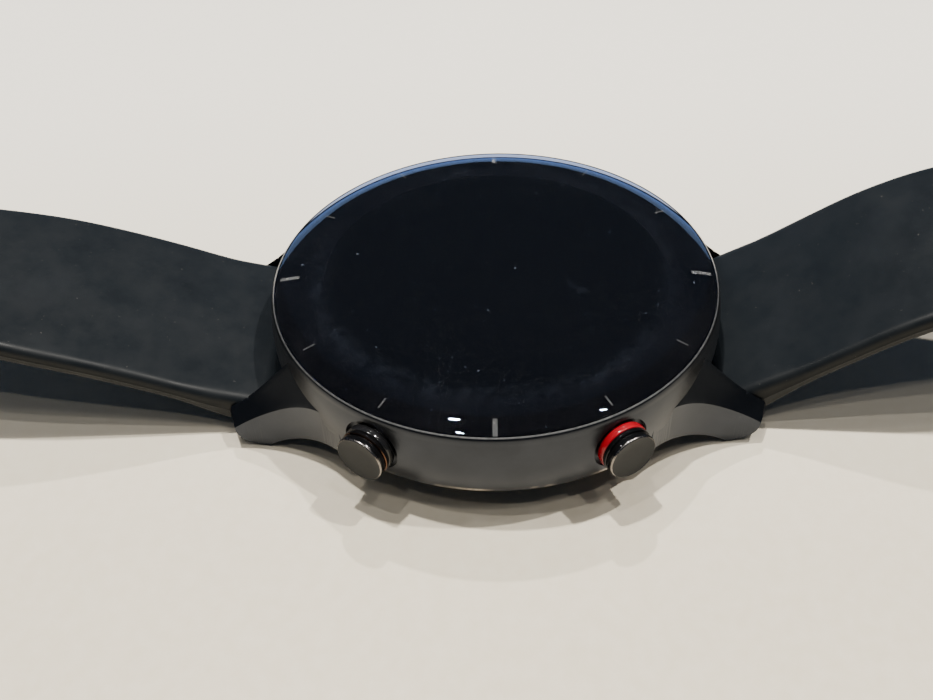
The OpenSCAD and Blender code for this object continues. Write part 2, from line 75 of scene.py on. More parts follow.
def make_camera():
    """A camera beside the 3 o'clock edge, looking down across the glass."""
    turn = Euler([math.radians(a) for a in CAMERA_TURN], "XYZ").to_matrix()
    right, up, forward = turn @ Matrix(((0, 1, 0), (0, 0, 1), (-1, 0, 0)))
    cam = bpy.data.cameras.new("camera")
    cam.sensor_width = 36.0
    cam.lens = CAMERA_LENS
    cam.clip_start, cam.clip_end = 0.005, 20
    obj = bpy.data.objects.new("camera", cam)
    axes = Matrix((right, up, -forward)).transposed()
    obj.matrix_world = Matrix.Translation(Vector(CAMERA_AT) * MM) @ axes.to_4x4()
    bpy.context.scene.collection.objects.link(obj)
    bpy.context.scene.camera = obj


def area_light(name, at, target, size, power, tint):
    """A rectangular lamp that faces the target, in metres and watts."""
    light = bpy.data.lights.new(name, "AREA")
    light.shape = "RECTANGLE"
    light.size, light.size_y = size
    light.energy = power
    light.color = tint
    obj = bpy.data.objects.new(name, light)
    obj.location = at
    obj.rotation_euler = (Vector(target) - Vector(at)).to_track_quat("-Z", "Y").to_euler()
    bpy.context.scene.collection.objects.link(obj)
    return obj


# Each lamp: X, Y, width, power, and whether it shows in shiny surfaces.
LAMPS = [(-0.15, -0.19, 0.04, 20, True), (-0.11, 0.55, 0.032, 17, True),
         (-0.85, -0.04, 0.035, 17, False), (0.15, -0.2, 0.03, 3, True),
         (0.57, -0.27, 0.03, 1.4, True), (0.34, 0.32, 0.03, 2, True),
         (0.47, 0.59, 0.03, 1.4, True), (-0.05, 0.92, 0.03, 1.6, True),
         (-0.15, -1.15, 0.03, 2, True)]
LAMP_Z, LAMP_TINT = 1.3, (1, 0.955, 0.87)
SKY_TINT, WORLD_TINT, WORLD_STRENGTH = (0.40, 0.60, 1), (0.45, 0.66, 1, 1), 0.065


def make_lights():
    """Small warm ceiling lamps and a dim bluish glow from behind."""
    for i, (x, y, size, power, shiny) in enumerate(LAMPS):
        lamp = area_light(f"lamp_{i}", (x, y, LAMP_Z), (0, 0, 0), (size, size), power, LAMP_TINT)
        lamp.visible_glossy = shiny
        lamp.visible_transmission = False
    area_light("sky_glow", (-1.0, 0.0, 0.16), (0, 0, 0.01), (1.6, 0.2), 1.1, SKY_TINT)
    world = bpy.data.worlds.new("world")
    world.use_nodes = True
    background = world.node_tree.nodes["Background"]
    background.inputs["Color"].default_value = WORLD_TINT
    background.inputs["Strength"].default_value = WORLD_STRENGTH
    bpy.context.scene.world = world


# ---- materials ----

class Nodes:
    """A material's node tree with short helpers. Coordinates are the piece's own, in metres."""

    def __init__(self, name):
        self.mat = bpy.data.materials.new(name)
        self.mat.use_nodes = True
        self.tree = self.mat.node_tree
        self.tree.nodes.clear()
        self.out = self.new("OutputMaterial")
        self.bsdf = self.new("BsdfPrincipled")
        self.link(self.bsdf.outputs[0], self.out.inputs["Surface"])
        self.coord = self.new("TexCoord").outputs["Object"]
        self.height = None

    def new(self, kind):
        return self.tree.nodes.new("ShaderNode" + kind)

    def link(self, source, target):
        self.tree.links.new(source, target)

    def set(self, **values):
        for key, value in values.items():
            self.bsdf.inputs[key.replace("_", " ")].default_value = value

    def texture(self, scale, stretch, shift, detail, rough, turn=0.0):
        """Noise whose features are about 1/scale millimetres across."""
        place = self.new("Mapping")
        place.inputs["Scale"].default_value = [1000 * scale * s for s in stretch]
        place.inputs["Rotation"].default_value = (0, 0, turn)
        place.inputs["Location"].default_value = shift
        self.link(self.coord, place.inputs["Vector"])
        node = self.new("TexNoise")
        node.inputs["Scale"].default_value = 1.0
        node.inputs["Detail"].default_value = detail
        node.inputs["Roughness"].default_value = rough
        self.link(place.outputs[0], node.inputs["Vector"])
        return node.outputs["Fac"]

    def noise(self, scale, detail=4, rough=0.55, stretch=(1, 1, 1), seed=0.0):
        return self.texture(scale, stretch, (seed, seed * 1.7, seed * 0.6), detail, rough)

    def scratches(self, scale, seed, width, stretch=(1, 0.04, 1), turn=0.0):
        """A mask of a few thin lines: the level lines of a stretched noise."""
        level = self.texture(scale, stretch, (seed, seed * 1.3, 0), 1.0, 0.5, turn)
        off = self.math("ABSOLUTE", self.math("SUBTRACT", level, 0.5))
        return self.math("SUBTRACT", 1.0, self.math("DIVIDE", off, width), clamp=True)

    def ramp(self, source, stops):
        node = self.new("ValToRGB")
        elements = node.color_ramp.elements
        while len(elements) < len(stops):
            elements.new(0.5)
        for element, (pos, value) in zip(elements, stops):
            element.position = pos
            colour = value if isinstance(value, tuple) else (value,) * 3
            element.color = (*colour, 1)
        self.link(source, node.inputs["Fac"])
        return node.outputs["Color"]

    def math(self, kind, a, b=0.0, clamp=False):
        node = self.new("Math")
        node.operation = kind
        node.use_clamp = clamp
        for socket, value in zip(node.inputs, (a, b)):
            if isinstance(value, (int, float)):
                socket.default_value = value
            else:
                self.link(value, socket)
        return node.outputs[0]

    def mix(self, fac, a, b):
        """One colour fading into another."""
        node = self.new("Mix")
        node.data_type = "RGBA"
        self.link(fac, node.inputs[0])
        for socket, value in ((node.inputs[6], a), (node.inputs[7], b)):
            if isinstance(value, tuple):
                socket.default_value = (*value, 1)
            else:
                self.link(value, socket)
        return node.outputs[2]

    def blend(self, fac, a, b):
        """One shader fading into another."""
        node = self.new("MixShader")
        for socket, source in zip(node.inputs, (fac, a, b)):
            self.link(source, socket)
        return node.outputs[0]

    def axis(self, name):
        """The piece's own X, Y or Z in metres."""
        node = self.new("SeparateXYZ")
        self.link(self.coord, node.inputs[0])
        return node.outputs["XYZ".index(name)]

    def radius(self):
        """Distance from the Z axis in millimetres."""
        x, y = self.axis("X"), self.axis("Y")
        square = self.math("ADD", self.math("MULTIPLY", x, x), self.math("MULTIPLY", y, y))
        return self.math("MULTIPLY", self.math("SQRT", square), 1000.0)

    def colour(self, source):
        self.link(source, self.bsdf.inputs["Base Color"])

    def rough(self, source, low, high):
        node = self.new("MapRange")
        node.inputs["To Min"].default_value = low
        node.inputs["To Max"].default_value = high
        self.link(source, node.inputs["Value"])
        self.link(node.outputs[0], self.bsdf.inputs["Roughness"])

    def bump(self, source, strength, distance_mm):
        node = self.new("Bump")
        node.inputs["Strength"].default_value = strength
        node.inputs["Distance"].default_value = distance_mm * MM
        self.link(source, node.inputs["Height"])
        if self.height is not None:
            self.link(self.height, node.inputs["Normal"])
        self.height = node.outputs[0]
        self.link(self.height, self.bsdf.inputs["Normal"])


def case_metal():
    """Dark bead-blasted aluminium."""
    n = Nodes("case_metal")
    n.set(Metallic=1.0)
    cloud = n.noise(0.25, 5, 0.6, seed=3)
    n.colour(n.ramp(cloud, [(0.3, (0.038, 0.0425, 0.052)), (0.7, (0.047, 0.052, 0.064))]))
    n.rough(n.noise(3, 3, seed=5), 0.27, 0.36)
    n.bump(n.noise(14, 2, 0.5, seed=1), 0.25, 0.006)
    return n.mat


def worn_metal():
    """The case metal where its lower edge has rubbed bright in patches."""
    n = Nodes("worn_metal")
    n.set(Metallic=1.0)
    patch = n.ramp(n.noise(0.14, 3, 0.5, seed=8), [(0.5, 0), (0.6, 1)])
    fleck = n.ramp(n.noise(2.4, 6, 0.75, seed=4), [(0.3, 0.2), (0.5, 1)])
    n.colour(n.mix(n.math("MULTIPLY", patch, fleck), (0.047, 0.052, 0.063), (0.50, 0.45, 0.40)))
    n.rough(n.noise(3, 3, seed=5), 0.3, 0.45)
    return n.mat


def rim_metal():
    """The thin polished chamfer round the glass."""
    n = Nodes("rim_metal")
    n.set(Metallic=0.9)
    nick = n.noise(2.5, 6, 0.7, seed=2)
    n.colour(n.ramp(nick, [(0.35, (0.20, 0.205, 0.21)), (0.6, (0.32, 0.325, 0.33))]))
    n.rough(nick, 0.3, 0.5)
    n.bump(n.noise(6, 3), 0.15, 0.01)
    return n.mat


def clear_glass():
    """Coated clear glass: bluish reflections, a rubbed haze where the flat meets the curved edge,
    a few hair scratches. Lamps shine through it."""
    n = Nodes("clear_glass")
    n.set(Base_Color=(0.97, 0.98, 1, 1), Transmission_Weight=1.0, IOR=1.5,
          Specular_Tint=(0.50, 0.66, 1, 1))
    rubbed_r, rubbed_width = 18.0, 1.5
    off = n.math("ABSOLUTE", n.math("SUBTRACT", n.radius(), rubbed_r))
    ring = n.math("SUBTRACT", 1.0, n.math("DIVIDE", off, rubbed_width), clamp=True)
    cloud = n.ramp(n.noise(0.9, 7, 0.75, seed=4), [(0.45, 0), (0.68, 1)])
    area = n.ramp(n.noise(0.05, 2, 0.5, seed=14), [(0.42, 0.15), (0.62, 1)])
    haze = n.math("MULTIPLY", n.math("MULTIPLY", ring, cloud), area)
    n.rough(haze, 0.008, 0.03)
    zone = n.ramp(n.noise(0.06, 2, 0.5, seed=11), [(0.5, 0), (0.62, 1)])
    lines = n.scratches(0.10, 7.3, 0.0012, turn=0.5)
    more = n.scratches(0.09, 2.1, 0.0010, (0.05, 1, 1), turn=0.9)
    gaps = n.ramp(n.noise(0.8, 5, 0.7, seed=31), [(0.5, 0), (0.6, 1)])
    broken = n.math("MULTIPLY", zone, gaps)
    scratched = n.math("MULTIPLY", n.math("ADD", lines, more, clamp=True), broken)
    speck = n.ramp(n.noise(2.2, 1, 0.5, seed=21), [(0.79, 0), (0.81, 1)])
    film = n.new("BsdfDiffuse")
    film.inputs["Color"].default_value = (0.5, 0.62, 0.9, 1)
    soiled = n.math("ADD", n.math("MULTIPLY", haze, 0.008), n.math("MULTIPLY", speck, 0.12))
    dirt = n.math("ADD", soiled, n.math("MULTIPLY", scratched, 0.012))
    dusty = n.blend(dirt, n.bsdf.outputs[0], film.outputs[0])
    steep = n.new("Fresnel")
    steep.inputs["IOR"].default_value = 1.5
    coat = n.new("BsdfGlossy")
    coat.inputs["Color"].default_value = (0.25, 0.32, 0.54, 1)
    coat.inputs["Roughness"].default_value = 0.03
    coated = n.blend(n.ramp(steep.outputs[0], [(0.13, 0), (0.24, 1)]), dusty, coat.outputs[0])
    shadow_ray = n.new("LightPath").outputs["Is Shadow Ray"]
    both = n.blend(shadow_ray, coated, n.new("BsdfTransparent").outputs[0])
    n.link(both, n.out.inputs["Surface"])
    return n.mat


def black_print():
    """The black ink under the glass, round the screen."""
    n = Nodes("black_print")
    n.rough(n.noise(0.4, 4), 0.35, 0.5)
    cloud = n.noise(0.15, 3, seed=2)
    n.colour(n.ramp(cloud, [(0.3, (0.0008, 0.0008, 0.0009)), (0.7, (0.0013, 0.0013, 0.0015))]))
    n.set(Specular_IOR_Level=0.0)
    return n.mat


def screen_black():
    """The display, switched off."""
    n = Nodes("screen_black")
    n.rough(n.noise(0.5, 3), 0.25, 0.35)
    grain = n.noise(8, 2, seed=6)
    n.colour(n.ramp(grain, [(0.3, (0.0006, 0.0006, 0.0006)), (0.7, (0.0010, 0.0010, 0.0010))]))
    n.set(Specular_IOR_Level=0.0)
    return n.mat


def mark_print():
    """The grey ink of the hour marks."""
    n = Nodes("mark_print")
    n.colour(n.ramp(n.noise(2, 3), [(0.3, (0.017, 0.018, 0.019)), (0.7, (0.022, 0.023, 0.024))]))
    n.rough(n.noise(1, 2), 0.4, 0.55)
    return n.mat


def strap_rubber():
    """Soft black silicone: fine moulded grain, a bloom that catches light, smudges and dust."""
    n = Nodes("strap_rubber")
    n.set(Specular_IOR_Level=0.17, Sheen_Weight=0.09, Sheen_Roughness=0.3,
          Sheen_Tint=(0.30, 0.52, 1, 1))
    cloud = n.noise(0.12, 6, 0.62, seed=9)
    base = n.ramp(cloud, [(0.32, (0.0056, 0.0073, 0.0094)), (0.7, (0.0074, 0.0094, 0.0118))])
    dust = n.ramp(n.noise(2.6, 2, 0.5, seed=12), [(0.735, 0), (0.775, 1)])
    n.colour(n.mix(n.math("MULTIPLY", dust, 0.25), base, (0.12, 0.115, 0.105)))
    n.rough(n.ramp(n.noise(0.2, 5, 0.65, seed=5), [(0.35, 0), (0.68, 1)]), 0.36, 0.56)
    n.bump(n.noise(0.35, 4, seed=7), 0.12, 0.05)
    n.bump(n.noise(11, 3, 0.6, seed=3), 0.22, 0.008)
    return n.mat


def moulded_plastic(name, dark, light, low=0.38, high=0.5, grain=0.3):
    n = Nodes(name)
    n.colour(n.ramp(n.noise(0.3, 4, seed=1), [(0.3, dark), (0.7, light)]))
    n.rough(n.noise(1.5, 3, seed=2), low, high)
    n.bump(n.noise(9, 3), grain, 0.008)
    return n.mat


def metal(name, dark, light, low, high, stretch=(1, 1, 1), metallic=1.0):
    n = Nodes(name)
    n.set(Metallic=metallic)
    streak = n.noise(3.0, 5, 0.6, stretch, seed=4)
    n.colour(n.ramp(streak, [(0.3, dark), (0.7, light)]))
    n.rough(streak, low, high)
    n.bump(streak, 0.15, 0.006)
    return n.mat


def floor_laminate():
    """Warm off-white laminate, faintly mottled, with painted light: darker near the front and a little
    paler towards the far side, standing in for how the light falls.
    """
    n = Nodes("floor_laminate")
    broad = n.noise(0.012, 4, 0.6, seed=2)
    fine = n.noise(0.6, 4, 0.6, seed=5)
    # painted light: a darker near colour fades into a paler far colour along X, standing in for
    # brighter light on the far side of the table
    near_painted_shade = n.ramp(broad, [(0.3, (0.62, 0.555, 0.435)), (0.7, (0.65, 0.585, 0.465))])
    far_painted_light = n.ramp(broad, [(0.3, (0.86, 0.825, 0.75)), (0.7, (0.89, 0.855, 0.78))])
    painted_light_slope = n.new("MapRange")
    painted_light_slope.interpolation_type = "SMOOTHSTEP"
    painted_light_slope.inputs["From Min"].default_value = 0.04
    painted_light_slope.inputs["From Max"].default_value = -0.07
    n.link(n.axis("X"), painted_light_slope.inputs["Value"])
    speck = n.ramp(fine, [(0.35, 0.0), (0.75, 1.0)])
    base = n.mix(painted_light_slope.outputs[0], near_painted_shade, far_painted_light)
    n.colour(n.mix(n.math("MULTIPLY", speck, 0.2), base, (0.80, 0.76, 0.69)))
    n.rough(fine, 0.3, 0.42)
    n.bump(fine, 0.05, 0.02)
    return n.mat


MATS = {}


def make_materials():
    MATS.update(
        case=case_metal(), worn=worn_metal(), rim=rim_metal(), glass=clear_glass(),
        black=black_print(), screen=screen_black(), mark=mark_print(), strap=strap_rubber(),
        floor=floor_laminate(),
        back=moulded_plastic("back_plastic", (0.010, 0.010, 0.011), (0.016, 0.016, 0.017)),
        sensor=moulded_plastic("sensor_glass", (0.004, 0.004, 0.006), (0.007, 0.007, 0.010),
                               0.05, 0.12, 0.02),
        port=moulded_plastic("sensor_port", (0.020, 0.026, 0.022), (0.035, 0.042, 0.036),
                             0.12, 0.2, 0.05),
        seal=moulded_plastic("seal_rubber", (0.008, 0.008, 0.008), (0.014, 0.014, 0.014),
                             0.5, 0.65),
        frame=moulded_plastic("frame_plastic", (0.030, 0.031, 0.034), (0.045, 0.046, 0.05)),
        board=moulded_plastic("circuit_board", (0.012, 0.07, 0.035), (0.02, 0.11, 0.05), 0.25, 0.35),
        flex=moulded_plastic("flex_film", (0.30, 0.11, 0.02), (0.40, 0.16, 0.03), 0.25, 0.4),
        battery=moulded_plastic("battery_wrap", (0.03, 0.045, 0.08), (0.045, 0.06, 0.10),
                                0.2, 0.35),
        led=moulded_plastic("led_clear", (0.62, 0.66, 0.5), (0.75, 0.8, 0.62), 0.1, 0.2),
        gold=metal("contact_gold", (0.62, 0.42, 0.14), (0.78, 0.55, 0.22), 0.18, 0.32),
        steel=metal("spring_steel", (0.36, 0.36, 0.37), (0.50, 0.50, 0.51), 0.22, 0.36),
        weight=metal("weight_metal", (0.26, 0.25, 0.23), (0.38, 0.36, 0.34), 0.35, 0.5),
        barrel=metal("button_barrel", (0.020, 0.020, 0.022), (0.036, 0.036, 0.040), 0.10, 0.2,
                     metallic=0.9),
        cap=metal("button_cap", (0.007, 0.0085, 0.011), (0.0105, 0.0125, 0.0155), 0.3, 0.4),
        bevel=metal("button_bevel", (0.20, 0.185, 0.18), (0.30, 0.28, 0.27), 0.2, 0.32),
        bronze=metal("button_bronze", (0.09, 0.048, 0.030), (0.14, 0.075, 0.048), 0.18, 0.3),
        red=moulded_plastic("accent_red", (0.24, 0.002, 0.008), (0.32, 0.004, 0.013),
                            0.08, 0.16, 0.03),
        dark_ring=moulded_plastic("accent_black", (0.006, 0.006, 0.007), (0.01, 0.01, 0.011),
                                  0.08, 0.16, 0.03),
        buckle=metal("buckle_steel", (0.055, 0.055, 0.060), (0.085, 0.085, 0.09), 0.26, 0.38,
                     stretch=(0.2, 6, 6)),
    )


# ---- mesh helpers ----

def new_object(name, verts, faces, mats, smooth_deg=35.0, slots=None, matrix=None):
    """A mesh piece from points in millimetres."""
    mesh = bpy.data.meshes.new(name)
    mesh.from_pydata([[c * MM for c in v] for v in verts], [], faces)
    for mat in mats:
        mesh.materials.append(mat)
    if slots:
        mesh.polygons.foreach_set("material_index", slots)
    obj = bpy.data.objects.new(name, mesh)
    bpy.context.scene.collection.objects.link(obj)
    if matrix is not None:
        mesh.transform(matrix)
    tidy_mesh(obj)
    return shade(obj, smooth_deg)


def tidy_mesh(obj):
    """Welds doubled points, drops slivers and turns every face outwards."""
    weld = 0.0004 * MM
    bm = bmesh.new()
    bm.from_mesh(obj.data)
    bmesh.ops.remove_doubles(bm, verts=bm.verts, dist=weld)
    bmesh.ops.dissolve_degenerate(bm, edges=bm.edges, dist=weld)
    bmesh.ops.recalc_face_normals(bm, faces=bm.faces)
    bm.to_mesh(obj.data)
    bm.free()


def shade(obj, smooth_deg):
    """Smooth shading, with edges sharper than this angle kept sharp."""
    obj.data.shade_smooth()
    obj.data.set_sharp_from_angle(angle=math.radians(smooth_deg))
    return obj


def apply_modifiers(obj):
    bpy.context.view_layer.update()
    graph = bpy.context.evaluated_depsgraph_get()
    mesh = bpy.data.meshes.new_from_object(obj.evaluated_get(graph))
    obj.modifiers.clear()
    obj.data = mesh
    return obj


def boolean(obj, other, kind="DIFFERENCE"):
    """Cuts a piece with another one, or joins them, and removes the other one."""
    mod = obj.modifiers.new("cut", "BOOLEAN")
    mod.operation, mod.object, mod.solver = kind, other, "EXACT"
    apply_modifiers(obj)
    bpy.data.objects.remove(other)
    return obj


def bevel(obj, width_mm, segments=3, angle_deg=28.0):
    mod = obj.modifiers.new("bevel", "BEVEL")
    mod.width, mod.segments = width_mm * MM, segments
    mod.limit_method, mod.angle_limit = "ANGLE", math.radians(angle_deg)
    mod.use_clamp_overlap = True
    return apply_modifiers(obj)


def even_normals(obj):
    """Normals weighted by face area, so flat faces stay flat beside rounded edges."""
    mod = obj.modifiers.new("normals", "WEIGHTED_NORMAL")
    mod.keep_sharp = True
    apply_modifiers(obj)


def lathe(name, outline, mats, pick=None, steps=256, smooth_deg=35.0, matrix=None):
    """Turns an outline of (radius, height) points about Z. pick(i) chooses the slot of band i.
    The outline runs closed when its ends meet, and points on the axis close into one."""
    verts, faces, slots = [], [], []
    count = len(outline)
    closed = outline[0] == outline[-1]
    rings = count - 1 if closed else count
    for r, z in outline[:rings]:
        for k in range(steps):
            a = 2 * math.pi * k / steps
            verts.append((r * math.cos(a), r * math.sin(a), z))
    for i in range(count - 1):
        a, b = i, (i + 1) % rings
        for k in range(steps):
            m = (k + 1) % steps
            faces.append((a * steps + k, a * steps + m, b * steps + m, b * steps + k))
            slots.append(pick(i) if pick else 0)
    return new_object(name, verts, faces, mats, smooth_deg, slots, matrix)


def arc_points(cx, cz, r, a0, a1, n):
    """Points on an arc, from angle a0 to a1 in degrees."""
    return [(cx + r * math.cos(math.radians(a0 + (a1 - a0) * i / n)),
             cz + r * math.sin(math.radians(a0 + (a1 - a0) * i / n))) for i in range(n + 1)]


def round_outline(points, radius, n=4):
    """Rounds the inner corners of an open outline with short arcs of about that radius."""
    out = [points[0]]
    for p, q, s in zip(points, points[1:], points[2:]):
        a, b, c = Vector(p), Vector(q), Vector(s)
        u, v = a - b, c - b
        cut = min(radius, u.length * 0.45, v.length * 0.45)
        start, end = b + u.normalized() * cut, b + v.normalized() * cut
        for i in range(n + 1):
            t = i / n
            out.append(tuple((1 - t) ** 2 * start + 2 * t * (1 - t) * b + t * t * end))
    out.append(points[-1])
    return out


def cylinder(name, r, a, b, steps=64):
    """A closed cylinder between two points, in millimetres."""
    a, b = Vector(a), Vector(b)
    turn = (b - a).to_track_quat("Z", "Y").to_matrix().to_4x4()
    place = Matrix.Translation(a * MM) @ turn
    length = (b - a).length
    return lathe(name, [(0, 0), (r, 0), (r, length), (0, length)], [], steps=steps, matrix=place)


def block(name, low, high):
    x0, y0, z0 = low
    x1, y1, z1 = high
    verts = [(x, y, z) for x in (x0, x1) for y in (y0, y1) for z in (z0, z1)]
    faces = [(0, 1, 3, 2), (4, 6, 7, 5), (0, 4, 5, 1), (2, 3, 7, 6), (0, 2, 6, 4), (1, 5, 7, 3)]
    return new_object(name, verts, faces, [])


def mirrored(obj, name, scale):
    """A mirror image of a mesh piece across one or two planes through the origin."""
    mesh = obj.data.copy()
    mesh.transform(Matrix.Diagonal((*scale, 1)))
    if scale[0] * scale[1] * scale[2] < 0:
        mesh.flip_normals()
    twin = bpy.data.objects.new(name, mesh)
    bpy.context.scene.collection.objects.link(twin)
    return twin


def radial_place(angle_deg, z, r):
    """The frame on a radius of the case: Z points outwards, X points down."""
    turn = Matrix.Rotation(math.radians(angle_deg), 4, "Z") @ Matrix.Rotation(math.pi / 2, 4, "Y")
    out = Vector((math.cos(math.radians(angle_deg)), math.sin(math.radians(angle_deg)), 0)) * r
    return Matrix.Translation((out + Vector((0, 0, z))) * MM) @ turn


# ---- case ----

def facet_cutter():
    """Everything above a lug's two slanted facets, which blend into each other."""
    softness, n, sky = 0.8, 36, 40

    def top(x, y):
        heights = []
        for turn, tilt, reach in FACETS:
            turn, tilt = math.radians(turn), math.radians(tilt)
            across = x * math.cos(turn) + y * math.sin(turn)
            heights.append((reach - math.sin(tilt) * across) / math.cos(tilt))
        a, b = heights
        return (a + b + math.sqrt((a - b) ** 2 + softness)) / 2
    grid = [(LUG_X - 4 + 16 * i / n, 10 + 20 * j / n) for i in range(n + 1) for j in range(n + 1)]
    verts = [(x, y, top(x, y)) for x, y in grid] + [(x, y, sky) for x, y in grid]
    row, high = n + 1, (n + 1) ** 2
    faces = []
    for i in range(n):
        for j in range(n):
            q = (i * row + j, (i + 1) * row + j, (i + 1) * row + j + 1, i * row + j + 1)
            faces += [q[::-1], tuple(k + high for k in q)]
    rim = ([i * row for i in range(n)] + [n * row + j for j in range(n)]
           + [i * row + n for i in range(n, 0, -1)] + list(range(n, 0, -1)))
    faces += [(a, b, b + high, a + high) for a, b in zip(rim, rim[1:] + rim[:1])]
    return new_object("facets", verts, faces, [])


def make_lug():
    """One lug in the +X, +Y quarter: swept in plan, hollowed below, slanted on top."""
    ny, nz = NOSE_AT
    outer, foot_z = LUG_X + LUG_WIDE, nz - NOSE_R
    lug = block("lug", (LUG_X, 12, 2.6), (outer, 24.7, 10.7))
    boolean(lug, block("low", (LUG_X, 17, 1.8), (outer, 23.7, 5.8)), "UNION")
    boolean(lug, block("foot", (LUG_X, 20, foot_z), (LUG_X + 4, 24.1, foot_z + 3)), "UNION")
    turn = math.radians(NOSE_TURN)
    along_nose = Vector((math.cos(turn), math.sin(turn), 0))
    start = Vector((LUG_X, ny, nz))
    nose = cylinder("nose", NOSE_R, start - along_nose * 2, start + along_nose * 6, 128)
    boolean(lug, nose, "UNION")
    boolean(lug, block("inside", (LUG_X - 4, 19, -1), (LUG_X, 30, 13)))
    boolean(lug, cylinder("sweep", SWEEP_R, (*SWEEP_AT, -2), (*SWEEP_AT, 14), 360))
    hy, hz = HOLLOW_AT
    boolean(lug, cylinder("hollow", HOLLOW_R, (LUG_X - 1, hy, hz), (LUG_X + 19, hy, hz), 480))
    boolean(lug, facet_cutter())
    tidy_mesh(lug)
    bevel(lug, 0.13, 3, 25)
    hole = cylinder("tip_hole", TIP_HOLE_R, (LUG_X - 1, BAR_Y, BAR_Z), (LUG_X + 1.2, BAR_Y, BAR_Z), 32)
    boolean(lug, hole)
    boolean(lug, cylinder("inner", CAVITY_R + 0.4, (0, 0, -2), (0, 0, 14), 320))
    return boolean(lug, cylinder("under", BACK_R + 0.1, (0, 0, -2), (0, 0, SEAM_Z), 320))


def drill_wall(case, angle, r):
    """A small round opening in the wall, with a flared mouth."""
    hole = [(0, 20), (r, 20), (r, 22.9), (r + 0.15, 23.6), (0, 23.6)]
    boolean(case, lathe("port", hole, [], steps=32, matrix=radial_place(angle, VENT_Z, 0)))


def make_case():
    """The turned wall with its worn lower edge and bright chamfer, the lugs and the openings."""
    wall = arc_points(CASE_R - WALL_ARC, WAIST_Z, WALL_ARC,
                      math.degrees(math.asin((SEAM_Z + 0.12 - WAIST_Z) / WALL_ARC)),
                      math.degrees(math.asin((RIM_Z - 0.85 - WAIST_Z) / WALL_ARC)), 40)
    (r0, z0), r1, r2 = wall[-1], wall[-1][0] - 0.03, GLASS_R + 0.25
    for i in range(1, 9):
        t = i / 8
        wall.append(((1 - t) ** 2 * r0 + 2 * t * (1 - t) * r1 + t * t * r2,
                     (1 - t) ** 2 * z0 + 2 * t * (1 - t) * (RIM_Z - 0.3) + t * t * (RIM_Z - 0.1)))
    low_r, seat_r = wall[0][0], CAVITY_R + 0.8
    outline = ([(seat_r, SEAM_Z), (low_r - 0.1, SEAM_Z), (low_r - 0.03, SEAM_Z + 0.04)] + wall
               + [(GLASS_R + 0.14, RIM_Z), (GLASS_R + 0.13, RIM_Z), (GLASS_R + 0.1, RIM_Z - 0.03),
                  (GLASS_R + 0.1, LEDGE_Z), (CAVITY_R, LEDGE_Z), (CAVITY_R, SEAM_Z + 0.4),
                  (seat_r, SEAM_Z + 0.4), (seat_r, SEAM_Z)])
    top, worn = len(wall) + 2, 5
    case = lathe("case_shell", outline, [MATS["case"], MATS["rim"], MATS["worn"]],
                 pick=lambda i: 1 if top <= i <= top + 3 else 2 if i < worn else 0, steps=320)
    lug = make_lug()
    lug.data.materials.append(MATS["case"])
    flips = ((-1, 1, 1), (1, -1, 1), (-1, -1, 1))
    twins = [mirrored(lug, f"lug_{i}", flip) for i, flip in enumerate(flips)]
    core = cylinder("core", GLASS_R + 0.12, (0, 0, LEDGE_Z), (0, 0, 14), 320)
    for piece in [lug] + twins:
        boolean(case, piece, "UNION")
    boolean(case, core)
    for side in (-1, 1):
        place = radial_place(side * BUTTON_ANGLE, BUTTON_Z, 0)
        mouth_r = RECESS_R + 0.16
        recess = [(0, RECESS_FLOOR), (RECESS_R, RECESS_FLOOR), (RECESS_R, 22.95), (mouth_r, 23.3),
                  (mouth_r, 27), (0, 27)]
        boolean(case, lathe("recess", recess, [], steps=96, matrix=place))
        bore = [(0, 18), (SLEEVE_R, 18), (SLEEVE_R, 24), (0, 24)]
        boolean(case, lathe("bore", bore, [], steps=64, matrix=place))
    for step in range(-2, 3):
        drill_wall(case, 180 + step * VENT_STEP, 0.45)
    drill_wall(case, MICROPHONE_ANGLE, 0.35)
    tidy_mesh(case)
    shade(case, 24)
    even_normals(case)
    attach(case, "case")
    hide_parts("case_body")


# ---- glass and face ----

def make_glass():
    """The cover glass, flat in the middle and rounded down to its rim, and the ink under it."""
    dome = arc_points(GLASS_FLAT_R, GLASS_TOP - GLASS_ROLL, GLASS_ROLL, 90,
                      math.degrees(math.acos((GLASS_R - GLASS_FLAT_R) / GLASS_ROLL)), 40)
    under = GLASS_UNDER + 0.04
    outline = ([(0, GLASS_TOP)] + [(r, GLASS_TOP) for r in (6, 12, 16)] + dome
               + [(GLASS_R, RIM_Z - 0.04), (GLASS_R, under + 0.1), (GLASS_R - 0.1, under)]
               + [(r, under) for r in (16, 8)] + [(0, under)])
    glass = lathe("cover_dome", outline, [MATS["glass"]], steps=320, smooth_deg=25)
    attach(glass, "case")
    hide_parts("cover_glass")
    screen_r, ink_r, low, high = 17.65, 22.45, GLASS_UNDER, GLASS_UNDER + 0.015
    ink = [(screen_r, low), (ink_r, low), (ink_r, high), (screen_r, high), (screen_r, low)]
    mask = lathe("print_mask", ink, [MATS["black"]], steps=192)
    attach(mask, "case")


def make_marks():
    """Twelve plain hour marks printed under the glass, the four quarter marks longer and wider."""
    z = GLASS_UNDER + 0.016
    verts, faces = [], []
    for hour in range(12):
        r0, r1, half = (20.0, 22.0, 0.22) if hour % 3 == 0 else (20.0, 21.2, 0.075)
        a = math.radians(hour * 30)
        u, v = Vector((math.cos(a), math.sin(a), 0)), Vector((-math.sin(a), math.cos(a), 0))
        b = len(verts)
        for top in (z, z + 0.012):
            for r, s in ((r0, -half), (r1, -half), (r1, half), (r0, half)):
                verts.append(tuple(u * r + v * s + Vector((0, 0, top))))
        faces += [(b, b + 3, b + 2, b + 1), (b + 4, b + 5, b + 6, b + 7)]
        faces += [(b + k, b + (k + 1) % 4, b + 4 + (k + 1) % 4, b + 4 + k) for k in range(4)]
    marks = new_object("hour_marks", verts, faces, [MATS["mark"]])
    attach(marks, "case")


# ---- back ----

